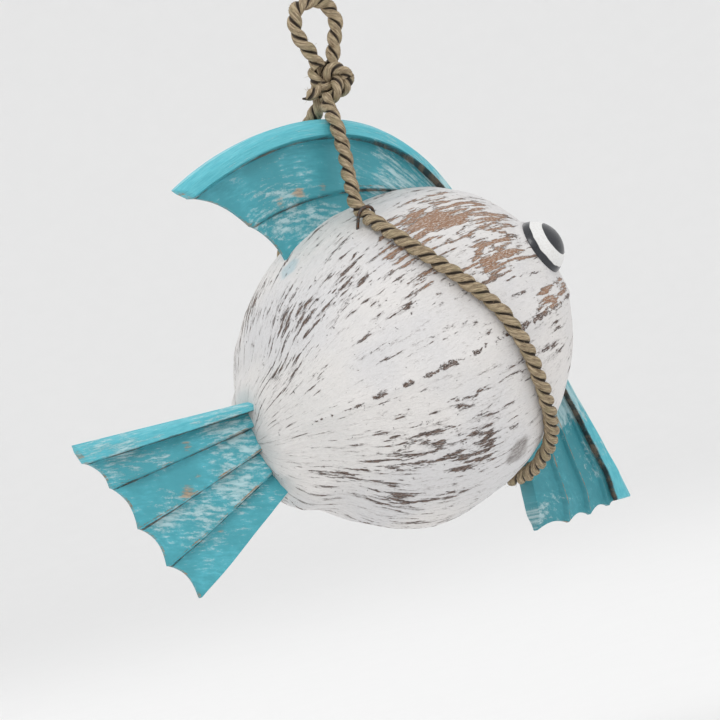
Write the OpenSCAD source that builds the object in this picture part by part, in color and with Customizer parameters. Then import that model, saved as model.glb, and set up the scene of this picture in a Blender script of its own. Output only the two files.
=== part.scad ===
// Hanging puffer fish carved from a whole dried coconut in its husk, with three
// wooden fins, two domed eyes and a rope harness tied in a knot above the back.
// Millimetres. +X points to the head, +Y to the fish's left, +Z up.
// The origin is the point where a hook carries the hanging loop.

/* [Husk] */
// Half length of the husk from its middle to the head end
husk_front = 105.5; // [88:0.5:127]
// Half length of the husk from its middle to the tail end
husk_rear = 98.5; // [82:0.5:119]
// Width of the husk across the cheeks
husk_width = 168; // [140:1:202]
// Height of the husk's back above its long axis
husk_top = 92; // [76:1:111]
// Depth of the husk's belly below its long axis
husk_belly = 87; // [72:1:105]
// How far the head end points up
husk_pitch = 13; // [0:1:25]
// How far the two side ridges and the keel stand proud
ridge_height = 2.5; // [0:0.5:5]
// Diameter of the nut left inside the husk
nut_d = 96; // [80:1:100]
// Thickness of the nut's shell
nut_wall = 4; // [3:0.5:6]
// Width of the carved mouth
mouth_width = 30; // [20:1:33]
// Height of the carved mouth
mouth_gap = 5; // [4:0.5:8]

/* [Fins] */
// Thickness of the dorsal fin's blade
dorsal_t = 12; // [9:0.5:15]
// Thickness of the dorsal fin's leading strip
dorsal_strip_t = 19; // [16:0.5:24]
// Thickness of the tail's blade
tail_t = 13; // [10:0.5:16]
// Thickness of the tail's upper rib
tail_strip_t = 18; // [16:0.5:24]
// Thickness of the chin fin's blade
ventral_t = 13; // [10:0.5:16]
// Thickness of the chin fin's front strip
ventral_strip_t = 18; // [16:0.5:24]
// Depth of each flute carved in a fin's side
flute_depth = 3; // [1:0.5:4]
// Gap on each side of a fin's root in its slot
slot_fit = 0.3; // [0.2:0.1:0.6]
// Diameter of the bamboo dowels behind the fins
dowel_d = 6; // [5:0.5:8]
// Length of each dowel
dowel_len = 30; // [24:1:36]
// Gap round a dowel in its holes
dowel_fit = 0.05; // [0.02:0.01:0.2]

/* [Eyes] */
// Diameter of an eye
eye_d = 32.5; // [26:0.5:40]
// Height that the eye's dome stands out of its seat
eye_rise = 12; // [9:0.5:15]
// Depth of the seat that the eye is glued into
eye_seat = 6; // [5:0.5:9]
// Gap round the eye in its seat
eye_fit = 0.3; // [0.2:0.1:0.6]
// Diameter of the pin behind each eye
eye_pin_d = 5; // [4:0.5:6]
// Length of the pin behind each eye
eye_pin_len = 20; // [16:1:24]

/* [Rope] */
// Diameter of the seagrass rope
rope_d = 8; // [6:0.5:10]
// Diameter of the knot above the back
knot_d = 26; // [24:1:30]
// Free space between the knot and the strands that leave it
knot_gap = 0.4; // [0.3:0.1:1]
// Length of the short rope end that sticks out of the knot
knot_tail_len = 4; // [2:1:8]
// Diameter of that rope end, where its outer fibres have worn away
knot_tail_d = 7; // [5:0.5:8]
// Diameter of the wire staples over the rope
wire_d = 1.8; // [1.4:0.2:2.4]
// Depth that a staple's legs go into the husk
staple_depth = 9; // [6:1:14]
// Gap between the rope and the staple's crown
staple_fit = 0.2; // [0.1:0.1:0.5]

/* [Hidden] */
$fn = 48;

around = 48;
along = 22;
knot_at = [-5, 0, 162];
loop_rise = 42;
// How far the short rope end dips below level.
knot_tail_dip = 19;
hook_at = knot_at + [0, 0, loop_rise];
// Turn about the knot that brings the fish's centre of mass under it.
hang_lean = 2.2;
// Reach of a cut that has to leave the husk.
cut_reach = 36;

// Angles of the three ridges round the husk's long axis: right side, left side, keel.
ridge_angles = [0, 180, 270];
ridge_spread = 9;
mouth_drop = 22;
// Fullness of the husk's outline: 2 is an ellipse, more is squarer.
rear_full = 1.9;
brow_full = 2.6;
belly_full = 1.8;

eye_along = 140;
eye_round = 27;
eye_out = 52;
eye_up = 21;
// Length of each eye's pin that is inside the eye.
eye_pin_hold = 5;

turquoise = [0.30, 0.72, 0.76];
husk_white = [0.88, 0.86, 0.83];
rope_tan = [0.62, 0.54, 0.42];
bamboo = [0.80, 0.68, 0.45];

// ---- husk ----

function turn_gap(a, b) = abs(((a - b) % 360 + 540) % 360 - 180);
function ridge(round_a) =
    max([for (a = ridge_angles) exp(-pow(turn_gap(round_a, a) / ridge_spread, 2))]);
function pitched(p) = [p.x * cos(husk_pitch) - p.z * sin(husk_pitch), p.y,
    p.x * sin(husk_pitch) + p.z * cos(husk_pitch)];
function fullness(along_a, round_a) = along_a < 90 ? rear_full
    : belly_full + (brow_full - belly_full) * (1 + sin(round_a)) / 2;
// Share of the full girth at a place along the husk.
function girth(along_a, round_a) = let (n = fullness(along_a, round_a))
    pow(max(0, 1 - pow(abs(cos(along_a)), n)), 1 / n);
// A point of the husk's skin: along_a runs 0 to 180 from the tail end to the head end,
// round_a turns from the right side over the top.
function skin(along_a, round_a) =
    let (r = girth(along_a, round_a), lift = ridge_height * ridge(round_a) * r,
        half = along_a < 90 ? husk_rear : husk_front,
        high = sin(round_a) > 0 ? husk_top : husk_belly)
    pitched([-half * cos(along_a),
        -(husk_width / 2 * r + lift) * cos(round_a),
        (high * r + lift) * sin(round_a)]);

husk_points = concat([skin(0, 0)],
    [for (i = [1:along - 1]) for (j = [0:around - 1]) skin(180 * i / along, 360 * j / around)],
    [skin(180, 0)]);
function ring_at(i, j) = 1 + (i - 1) * around + j % around;
husk_faces = concat(
    [for (j = [0:around - 1]) [0, ring_at(1, j), ring_at(1, j + 1)]],
    [for (i = [1:along - 2]) for (j = [0:around - 1])
        [ring_at(i, j), ring_at(i + 1, j), ring_at(i + 1, j + 1)]],
    [for (i = [1:along - 2]) for (j = [0:around - 1])
        [ring_at(i, j), ring_at(i + 1, j + 1), ring_at(i, j + 1)]],
    [for (j = [0:around - 1])
        [ring_at(along - 1, j), (along - 1) * around + 1, ring_at(along - 1, j + 1)]]);

// Everything is drawn about the husk's middle, turned to its balance and hung below the hook.
module hung() translate(knot_at - hook_at) rotate([0, hang_lean, 0]) translate(-knot_at) children();

module upright(t) translate([0, t / 2, 0]) rotate([90, 0, 0]) linear_extrude(t) children();

module mouth_cut() {
    nose = skin(180, 0);
    translate(nose + [-mouth_width / 6, 0, -mouth_drop - mouth_gap / 2])
        cylinder(d = mouth_width, h = mouth_gap);
}

module coconut_husk() color(husk_white) hung() difference() {
    polyhedron(husk_points, husk_faces, convexity = 4);
    sphere(d = nut_d, $fn = 64);
    upright(dorsal_t + 2 * slot_fit) polygon(dorsal_root(slot_fit));
    upright(dorsal_strip_t + 2 * slot_fit) polygon(dorsal_strip(slot_fit));
    upright(tail_t + 2 * slot_fit) polygon(tail_root(slot_fit));
    upright(ventral_t + 2 * slot_fit) polygon(ventral_root(slot_fit));
    dorsal_dowel_set(dowel_d + 2 * dowel_fit);
    tail_dowel_set(dowel_d + 2 * dowel_fit);
    ventral_dowel_set(dowel_d + 2 * dowel_fit);
    for (side = [-1, 1]) {
        at_eye(side) translate([0, 0, -eye_seat])
            cylinder(d = eye_d + 2 * eye_fit, h = eye_seat + cut_reach);
        at_eye(side) eye_pin(eye_pin_d + 2 * dowel_fit);
        at_staple(side) staple_legs(wire_d);
    }
    mouth_cut();
}

module nut_shell() color("saddlebrown") hung() difference() {
    sphere(d = nut_d, $fn = 64);
    sphere(d = nut_d - 2 * nut_wall, $fn = 64);
}

// ---- curves for the fins' outlines ----

function bez(p, t) = pow(1 - t, 3) * p[0] + 3 * t * pow(1 - t, 2) * p[1]
    + 3 * t * t * (1 - t) * p[2] + pow(t, 3) * p[3];
function curve(p, n) = [for (i = [0:n]) bez(p, i / n)];
// Points from a to b that bow to the left of the way by depth.
function scallop(a, b, depth, n = 6) = let (d = b - a, side = [-d.y, d.x] / norm(d))
    [for (i = [1:n]) a + d * i / n + side * depth * sin(180 * i / n)];
function ray(apex, a, r) = apex + r * [cos(a), sin(a)];

// ---- dorsal fin, in the mirror plane ----

top_z = husk_top - 6;
dorsal_base = top_z - 24;
dorsal_top = [[-121, top_z + 33], [-80, top_z + 55], [18, top_z + 86], [58, top_z]];
dorsal_under = [[-112, top_z + 28], [-74, top_z + 48], [16, top_z + 72], [50, top_z]];
// The strip's full thickness starts this share of the way down from the fin's edge.
shoulder = 0.35;
dorsal_shoulder = [for (i = [0:3]) dorsal_top[i] + shoulder * (dorsal_under[i] - dorsal_top[i])];
rib_tip = [-77, top_z + 6];
rear_base = [-58, dorsal_base];
front_base = [61, dorsal_base];
dorsal_foot = [[61, top_z - 2], front_base, rear_base, [-62, top_z - 9]];

function dorsal_strip(gap) = concat([for (p = curve(dorsal_shoulder, 24)) p + [gap, gap]],
    [for (i = [24:-1:0]) bez(dorsal_under, i / 24) - [gap, gap]]);
function dorsal_root(gap) = [
    [rear_base.x - 9 - gap, top_z + 12], [rear_base.x - gap, dorsal_base],
    [front_base.x + gap, dorsal_base], [front_base.x + gap, top_z + 12]];

module dorsal_outline() polygon(concat(curve(dorsal_top, 24), dorsal_foot,
    scallop([-63, top_z - 2], rib_tip, -2), scallop(rib_tip, [-94, top_z + 19], 3),
    scallop([-94, top_z + 19], dorsal_top[0], 3)));

// A round-bottomed groove from a to b in one side of the dorsal blade.
module dorsal_flute(a, b, side, r) {
    d = b - a;
    translate([a.x, side * (dorsal_t / 2 + r - flute_depth), a.y])
        rotate([0, 90 - atan2(d.y, d.x), 0]) cylinder(h = norm(d), r = r);
}

module dorsal_fin() color(turquoise) hung() difference() {
    union() {
        upright(dorsal_t) dorsal_outline();
        upright(dorsal_strip_t) polygon(dorsal_strip(0));
    }
    for (side = [-1, 1]) dorsal_flutes(side);
    dorsal_dowel_set(dowel_d + 2 * dowel_fit);
}

// Two grooves on each side, above and below the middle rib.
module dorsal_flutes(side) {
    dorsal_flute([-92, top_z + 26], [-20, top_z + 37], side, 12);
    dorsal_flute([-58, top_z + 12], [16, top_z + 14], side, 8);
}

module dorsal_dowel_set(d) for (x = [-24, 34])
    translate([x, 0, dorsal_base - dowel_len / 2]) cylinder(d = d, h = dowel_len);

// ---- tail fin ----

rear_shift = -(husk_rear - 98.5) * [cos(husk_pitch), sin(husk_pitch)];
tail_apex = [-13, 1] + rear_shift;
tail_first = 181.6;
tail_step = 8.2;
tail_reach = [204.5, 189.5, 184, 180.5, 177.5];
tail_root_r = 76;

function tail_tip(i) = ray(tail_apex, tail_first + tail_step * i, tail_reach[i]);
function tail_foot(i, r = tail_root_r) = ray(tail_apex, tail_first + tail_step * i, r);
function tail_root(gap) = let (wide = gap * unit(tail_foot(0) - tail_foot(4)))
    [tail_foot(0) + wide, tail_foot(0, 125) + wide, tail_foot(4, 125) - wide, tail_foot(4) - wide];

module tail_outline() polygon(concat([tail_foot(0), tail_tip(0)],
    [for (i = [0:3]) each scallop(tail_tip(i), tail_tip(i + 1), 5)], [tail_foot(4)]));

module tail_flutes(side) for (i = [0:3]) {
    mid = tail_first + tail_step * (i + 0.5);
    reach = max(tail_reach[i], tail_reach[i + 1]);
    translate([tail_apex.x, side * tail_t / 2, tail_apex.y]) rotate([0, -mid, 0])
        translate([125, side * (16 - flute_depth / 2), 0]) rotate([0, 90, 0])
            cylinder(h = reach - 110, r1 = 16, r2 = 17);
}

module tail_fin() color(turquoise) hung() difference() {
    union() {
        upright(tail_t) tail_outline();
        upright(tail_strip_t) polygon([tail_foot(0, 118), tail_tip(0),
            ray(tail_apex, tail_first + 1.9, tail_reach[0] - 6),
            ray(tail_apex, tail_first + 4, 118)]);
    }
    for (side = [-1, 1]) tail_flutes(side);
    tail_dowel_set(dowel_d + 2 * dowel_fit);
}

module tail_dowel_set(d) for (i = [1, 3]) {
    a = tail_first + tail_step * i;
    foot = ray(tail_apex, a, tail_root_r - dowel_len / 2);
    translate([foot.x, 0, foot.y]) rotate([0, -90 - (a - 180), 0]) cylinder(d = d, h = dowel_len);
}

// ---- chin fin ----

chin_shift = [0, 87 - husk_belly];
ventral_apex = [66, 76] + chin_shift;
ventral_angles = [270, 277.1, 282, 287, 291.3];
ventral_reach = [181, 182, 183, 184, 187];
ventral_root_r = 132;
front_root_r = 88;

function ventral_tip(i) = ray(ventral_apex, ventral_angles[i], ventral_reach[i]);
function ventral_foot(i, r = ventral_root_r) = ray(ventral_apex, ventral_angles[i], r);
function ventral_root(gap) = let (wide = gap * unit(ventral_foot(0) - ventral_foot(4, front_root_r)))
    [ventral_foot(0) + wide, ventral_foot(0, 168) + wide, ventral_foot(4, 150) - wide,
    ventral_foot(4, front_root_r) - wide];

module ventral_outline() polygon(concat([ventral_foot(4, front_root_r), ventral_foot(0), ventral_tip(0)],
    [for (i = [0:3]) each scallop(ventral_tip(i), ventral_tip(i + 1), 4)]));

module ventral_flutes(side) for (i = [0:3]) {
    mid = (ventral_angles[i] + ventral_angles[i + 1]) / 2;
    translate([ventral_apex.x, side * ventral_t / 2, ventral_apex.y]) rotate([0, -mid, 0])
        translate([160 - i * 5, side * (12 - flute_depth / 2), 0]) rotate([0, 90, 0])
            cylinder(h = 50, r = 12);
}

module ventral_fin() color(turquoise) hung() difference() {
    union() {
        upright(ventral_t) ventral_outline();
        upright(ventral_strip_t) polygon([ventral_foot(4, 122), ventral_tip(4),
            ray(ventral_apex, ventral_angles[4] - 4, 183),
            ray(ventral_apex, ventral_angles[4] - 3, 126)]);
    }
    for (side = [-1, 1]) ventral_flutes(side);
    ventral_dowel_set(dowel_d + 2 * dowel_fit);
}

module ventral_dowel_set(d) for (i = [1, 3]) {
    a = ventral_angles[i];
    foot = ray(ventral_apex, a, ventral_root_r - 9 * i - dowel_len / 2 + 4);
    translate([foot.x, 0, foot.y]) rotate([0, 90 - a, 0]) cylinder(d = d, h = dowel_len);
}

module dorsal_dowels() color(bamboo) hung() dorsal_dowel_set(dowel_d);
module tail_dowels() color(bamboo) hung() tail_dowel_set(dowel_d);
module ventral_dowels() color(bamboo) hung() ventral_dowel_set(dowel_d);

// ---- eyes ----

// Places children at an eye's seat, with +Z pointing out of the head. side is -1 for right.
module at_eye(side) {
    seat = skin(eye_along, eye_round);
    translate([seat.x, -side * seat.y, seat.z])
        rotate([0, 0, side * eye_out]) rotate([0, 90 - eye_up, 0]) children();
}

dome_r = (pow(eye_d / 2, 2) + pow(eye_rise, 2)) / (2 * eye_rise);

module eye(side) color("whitesmoke") hung() at_eye(side) difference() {
    intersection() {
        translate([0, 0, eye_rise - dome_r]) sphere(r = dome_r, $fn = 64);
        translate([0, 0, -eye_seat]) cylinder(d = eye_d, h = eye_seat + 2 * eye_rise);
    }
    eye_pin(eye_pin_d + 2 * dowel_fit);
}

module eye_pin(d) translate([0, 0, eye_pin_hold - eye_seat - eye_pin_len])
    cylinder(d = d, h = eye_pin_len);

module eye_right() eye(-1);
module eye_left() eye(1);
module eye_pins() color(bamboo) hung() for (side = [-1, 1]) at_eye(side) eye_pin(eye_pin_d);

// ---- rope harness ----

// Route of one half of the harness from the knot down the fish's left side to the chin.
half_route = [[-10.5, 4.3, 153.5], [-13.2, 4.8, 149.8], [-14.1, 7.5, 146.2], [-16.2, 12.4, 142],
    [-16.7, 14.4, 136.6], [-16.7, 15.4, 130.2], [-16.7, 16.4, 123.9], [-19.5, 20, 111.9], [-23, 25, 99.4],
    [-25.2, 29.5, 90.6], [-25.1, 35, 84.9], [-25.8, 44.7, 79.1], [-24.3, 53.8, 72.6], [-20.3, 64, 63.2],
    [-14.7, 71.9, 54], [-7.7, 77.8, 44.8], [0, 82.5, 35.1], [6.8, 85, 26.9], [12.4, 87.4, 18.4],
    [16.1, 89.6, 9.8], [20.2, 89.6, 1.3], [25.6, 86.9, -7.7], [29.7, 83.6, -16.3], [34.1, 79.9, -25],
    [38.5, 75.1, -33.5], [43.8, 68.2, -42], [49.8, 58.6, -50.4], [54, 48.5, -58], [56.8, 36, -64.6],
    [59, 20.6, -70.8], [60.6, 0, -74]];
steps = len(half_route) - 1;
harness_route = concat([for (p = half_route) [p.x, -p.y, p.z]],
    [for (i = [steps - 1:-1:0]) half_route[i]]);

loop_half = [[4.4, 0, -32.6], [5.8, 0, -28.8], [8.6, 0, -22.5], [12.5, 0, -14], [13.5, 0, -7], [10.5, 0, 0], [5.5, 0, 3.2],
    [0, 0, 4]];
loop_steps = len(loop_half) - 1;
loop_route = concat([for (p = loop_half) [-p.x, 0, p.z]],
    [for (i = [loop_steps - 1:-1:0]) loop_half[i]]);

function unit(v) = v / norm(v);
function heading(p, i) = unit(p[min(i + 1, len(p) - 1)] - p[max(i - 1, 0)]);
// Carries the side vector s along the route without twist.
function side_on(s, t) = unit(s - t * (s * t));
function sides(p, i = 0, s = [1, 0, 0]) = i == len(p) ? []
    : let (n = side_on(s, heading(p, i))) concat([n], sides(p, i + 1, n));
function midway(p, i) = (9 * (p[i] + p[i + 1]) - p[max(i - 1, 0)] - p[min(i + 2, len(p) - 1)]) / 16;
function finer(p) = concat([for (i = [0:len(p) - 2]) each [p[i], midway(p, i)]], [p[len(p) - 1]]);

module tube(p, d, edges = 10, first = [1, 0, 0]) {
    s = sides(p, 0, first);
    r = d / 2;
    n = len(p);
    points = [for (i = [0:n - 1]) let (t = heading(p, i), b = cross(t, s[i]))
        for (k = [0:edges - 1]) p[i] + r * (s[i] * cos(360 * k / edges) + b * sin(360 * k / edges))];
    faces = concat([[for (k = [0:edges - 1]) k]],
        [for (i = [0:n - 2]) for (k = [0:edges - 1]) let (m = (k + 1) % edges)
            [i * edges + k, (i + 1) * edges + k, (i + 1) * edges + m]],
        [for (i = [0:n - 2]) for (k = [0:edges - 1]) let (m = (k + 1) % edges)
            [i * edges + k, (i + 1) * edges + m, i * edges + m]],
        [[for (k = [edges - 1:-1:0]) (n - 1) * edges + k]]);
    polyhedron(points, faces, convexity = 8);
}

// Trims a rope where it meets the knot.
module off_knot(centre) difference() {
    children();
    translate(centre) sphere(d = knot_d + 2 * knot_gap, $fn = 64);
}

module harness_rope() color(rope_tan) hung() off_knot(knot_at) tube(finer(harness_route), rope_d);

module top_knot() color(rope_tan) hung() translate(knot_at) sphere(d = knot_d, $fn = 64);

module knot_tail() color(rope_tan) hung() translate(knot_at) rotate([0, -90 - knot_tail_dip, 0]) difference() {
    union() {
        cylinder(d = knot_tail_d, h = knot_d / 2 + knot_tail_len);
        translate([0, 0, knot_d / 2 + knot_tail_len]) sphere(d = knot_tail_d, $fn = 32);
    }
    sphere(d = knot_d, $fn = 64);
}

module hanging_loop() color(rope_tan) off_knot([0, 0, -loop_rise])
    tube(finer(loop_route), rope_d, first = [0, 1, 0]);

// ---- staples over the rope ----

staple_tilt = 27;
function staple_at(side) = [-25.1, side * 36, 84.3];
module at_staple(side) translate(staple_at(side)) rotate([-side * staple_tilt, 0, 0]) children();

staple_r = rope_d / 2 + staple_fit + wire_d / 2;

module staple_legs(d) for (x = [-1, 1]) translate([x * staple_r, 0, -rope_d / 2 - staple_depth])
    cylinder(d = d, h = rope_d / 2 + staple_depth, $fn = 24);

module staple(side) color("dimgray") hung() at_staple(side) {
    staple_legs(wire_d);
    rotate([90, 0, 0]) rotate_extrude(angle = 180) translate([staple_r, 0]) circle(d = wire_d, $fn = 24);
}

module rope_staple_right() staple(-1);
module rope_staple_left() staple(1);

coconut_husk();
nut_shell();
dorsal_fin();
tail_fin();
ventral_fin();
dorsal_dowels();
tail_dowels();
ventral_dowels();
eye_right();
eye_left();
eye_pins();
rope_staple_right();
rope_staple_left();
harness_rope();
top_knot();
knot_tail();
hanging_loop();
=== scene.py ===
"""A hanging puffer fish carved from a dried coconut husk, with turquoise fins and a seagrass rope."""

from math import cos, pi, radians, sin, sqrt

import bpy
import numpy as np
from mathutils import Matrix, Vector


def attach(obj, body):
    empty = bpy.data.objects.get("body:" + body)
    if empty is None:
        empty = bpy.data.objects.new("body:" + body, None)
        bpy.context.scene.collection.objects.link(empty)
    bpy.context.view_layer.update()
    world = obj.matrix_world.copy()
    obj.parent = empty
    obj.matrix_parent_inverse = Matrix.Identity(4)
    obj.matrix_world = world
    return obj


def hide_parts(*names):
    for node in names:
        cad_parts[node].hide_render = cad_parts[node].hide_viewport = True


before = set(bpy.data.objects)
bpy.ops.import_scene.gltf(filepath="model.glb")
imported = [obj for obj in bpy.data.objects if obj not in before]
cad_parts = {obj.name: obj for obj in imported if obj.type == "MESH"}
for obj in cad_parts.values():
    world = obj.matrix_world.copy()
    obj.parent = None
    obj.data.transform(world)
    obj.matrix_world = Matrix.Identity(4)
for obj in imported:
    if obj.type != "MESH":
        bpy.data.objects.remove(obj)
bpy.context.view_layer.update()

# ---- sizes, in millimetres about the middle of the husk, as the carver lays the fish out ----

MM = 0.001
KNOT = np.array([-5.0, 0.0, 162.0])
LOOP_RISE = 42.0
HANG_LEAN = radians(2.2)
HUSK_FRONT, HUSK_REAR, HUSK_SIDE, HUSK_TOP, HUSK_BELLY = 105.5, 98.5, 84.0, 92.0, 87.0
HUSK_PITCH = radians(13)
RIDGES = (0.0, 180.0, 270.0)


def hung(points):
    """Turns points about the husk's middle, in mm, into the frame's metres, leaned to the fish's balance."""
    p = np.asarray(points, float) - KNOT
    x, y, z = p[..., 0], p[..., 1], p[..., 2]
    c, s = cos(HANG_LEAN), sin(HANG_LEAN)
    return np.stack([x * c + z * s, y, z * c - x * s - LOOP_RISE], -1) * MM


# ---- camera ----

VIEW_AZIMUTH = radians(-34)
VIEW_RISE = radians(0.5)
VIEW_ROLL = radians(-14.2)
VIEW_DISTANCE = 3.5
VIEW_WIDTH = 0.396
VIEW_CENTRE = (-25.0, 0.0, 8.3)

lens = bpy.data.cameras.new("camera")
lens.sensor_width = 36
lens.lens = lens.sensor_width * VIEW_DISTANCE / VIEW_WIDTH
camera = bpy.data.objects.new("camera", lens)
bpy.context.collection.objects.link(camera)
bpy.context.scene.camera = camera
away = Vector((sin(VIEW_AZIMUTH) * cos(VIEW_RISE), -cos(VIEW_AZIMUTH) * cos(VIEW_RISE), sin(VIEW_RISE)))
aim = Vector(hung(VIEW_CENTRE))
camera.matrix_world = (
    Matrix.Translation(aim + away * VIEW_DISTANCE)
    @ away.to_track_quat("Z", "Y").to_matrix().to_4x4()
    @ Matrix.Rotation(VIEW_ROLL, 4, "Z")
)


# ---- noise and small helpers ----


def hash01(i, j, k, seed):
    """A steady value from 0 to 1 for each whole-number cell."""
    n = (i * 374761393 + j * 668265263 + k * 2147483647 + seed * 974634777) & 0xFFFFFFFF
    n = ((n ^ (n >> 13)) * 1274126177) & 0xFFFFFFFF
    return ((n ^ (n >> 16)) & 0xFFFF) / 65535.0


def grain(points, size, seed=0):
    """Smooth noise from -1 to 1 at points, with lumps about size across."""
    q = np.asarray(points, float) / size
    cell = np.floor(q).astype(np.int64)
    f = q - cell
    f = f * f * (3 - 2 * f)
    total = 0.0
    for dx in (0, 1):
        for dy in (0, 1):
            for dz in (0, 1):
                weight = (
                    (f[..., 0] if dx else 1 - f[..., 0])
                    * (f[..., 1] if dy else 1 - f[..., 1])
                    * (f[..., 2] if dz else 1 - f[..., 2])
                )
                corner = hash01(cell[..., 0] + dx, cell[..., 1] + dy, cell[..., 2] + dz, seed)
                total = total + weight * corner
    return total * 2 - 1


def smooth(low, high, x):
    t = np.clip((x - low) / (high - low), 0, 1)
    return t * t * (3 - 2 * t)


def falloff(distance, width):
    """1 at no distance, falling to about a third at width."""
    return np.exp(-((distance / width) ** 2))


def new_piece(name, points, faces, material, marks=()):
    """Makes a mesh object from points in metres. marks holds (name, values) kept on its points."""
    mesh = bpy.data.meshes.new(name)
    mesh.from_pydata(np.asarray(points).tolist(), [], faces)
    mesh.validate()
    mesh.update()
    mesh.shade_smooth()
    for mark, values in marks:
        attribute = mesh.attributes.new(mark, "FLOAT", "POINT")
        attribute.data.foreach_set("value", np.asarray(values, np.float32).ravel())
    mesh.materials.append(material)
    piece = bpy.data.objects.new(name, mesh)
    bpy.context.collection.objects.link(piece)
    return piece


def grid_faces(rows, columns, start=0, wrap=False, flip=False):
    """Quads over a grid of points laid row by row. wrap joins the last column to the first."""
    faces = []
    for i in range(rows - 1):
        for j in range(columns if wrap else columns - 1):
            k = (j + 1) % columns
            quad = (
                start + i * columns + j,
                start + (i + 1) * columns + j,
                start + (i + 1) * columns + k,
                start + i * columns + k,
            )
            faces.append(quad[::-1] if flip else quad)
    return faces


# ---- shader maths ----


class Value:
    """One number on its way through a material's nodes. Arithmetic on it adds Math nodes."""

    def __init__(self, stuff, socket):
        self.stuff, self.socket = stuff, socket

    def math(self, operation, *others):
        sockets = {i: (o.socket if isinstance(o, Value) else o) for i, o in enumerate(others)}
        return Value(self.stuff, self.stuff.node("Math", {"operation": operation}, sockets).outputs[0])

    def __add__(self, other):
        return self.math("ADD", self, other)

    __radd__ = __add__

    def __sub__(self, other):
        return self.math("SUBTRACT", self, other)

    def __rsub__(self, other):
        return self.math("SUBTRACT", other, self)

    def __mul__(self, other):
        return self.math("MULTIPLY", self, other)

    __rmul__ = __mul__

    def most(self, other):
        return self.math("MAXIMUM", self, other)

    def step(self, low, high):
        """0 below low, 1 above high, and smooth between."""
        node = self.stuff.node(
            "MapRange",
            {"interpolation_type": "SMOOTHSTEP"},
            {"Value": self.socket, "From Min": low, "From Max": high},
        )
        return Value(self.stuff, node.outputs[0])


class Stuff:
    """A material under construction."""

    def __init__(self, name):
        self.material = bpy.data.materials.new(name)
        self.material.use_nodes = True
        self.tree = self.material.node_tree
        self.skin = self.tree.nodes["Principled BSDF"]

    def node(self, kind, settings=None, sockets=None):
        """Adds a node: its settings first, then the values or links of its sockets."""
        node = self.tree.nodes.new("ShaderNode" + kind)
        for key, value in (settings or {}).items():
            setattr(node, key, value)
        for key, value in (sockets or {}).items():
            self.feed(node.inputs[key], value)
        return node

    def feed(self, socket, value):
        if isinstance(value, Value):
            value = value.socket
        if isinstance(value, bpy.types.NodeSocket):
            self.tree.links.new(value, socket)
        else:
            socket.default_value = value

    def mark(self, name):
        return Value(self, self.node("Attribute", {"attribute_name": name}).outputs["Fac"])

    def place(self, x, y, z):
        return self.node("CombineXYZ", None, {"X": x, "Y": y, "Z": z}).outputs[0]

    def cloud(self, where, scale, detail=4.0, rough=0.55):
        """Fractal noise, about 0.25 to 0.75."""
        sockets = {"Vector": where, "Scale": scale, "Detail": detail, "Roughness": rough}
        return Value(self, self.node("TexNoise", None, sockets).outputs["Fac"])

    def blend(self, amount, low, high):
        """A colour: low where amount is 0, high where it is 1."""
        node = self.node("Mix", {"data_type": "RGBA"})
        self.feed(node.inputs[0], amount)
        for socket, colour in ((node.inputs[6], low), (node.inputs[7], high)):
            self.feed(socket, (*colour, 1) if isinstance(colour, tuple) else colour)
        return node.outputs[2]

    def finish(self, colour, roughness, height=None, depth=0.001, **constants):
        """Feeds the shader. height, from 0 to 1, stands depth metres proud."""
        self.feed(self.skin.inputs["Base Color"], colour)
        self.feed(self.skin.inputs["Roughness"], roughness)
        if height is not None:
            bump = self.node("Bump", None, {"Height": height, "Distance": depth})
            self.feed(self.skin.inputs["Normal"], bump.outputs[0])
        for key, value in constants.items():
            self.skin.inputs[key.replace("_", " ")].default_value = value
        return self.material

    def own_place(self):
        """The piece's own coordinates, in metres."""
        return self.node("TexCoord").outputs["Object"]


# ---- materials ----

FIBRE_BROWN = (0.26, 0.135, 0.075)
DARK_BROWN = (0.055, 0.035, 0.028)
WASH_WARM = (0.80, 0.775, 0.755)
WASH_COOL = (0.73, 0.72, 0.725)
PAINT_BRIGHT = (0.09, 0.47, 0.56)
PAINT_MID = (0.05, 0.32, 0.38)
# The teal of painted shade on the fins' blades.
PAINT_IN_SHADE = (0.035, 0.21, 0.25)
PAINT_WHITE = (0.62, 0.74, 0.75)
WOOD_BARE = (0.30, 0.17, 0.08)
# A near-black for small nicks and for the painted shade lines under the fins' ribs.
DARK_FOR_NICKS_AND_SHADE = (0.035, 0.025, 0.02)


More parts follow.
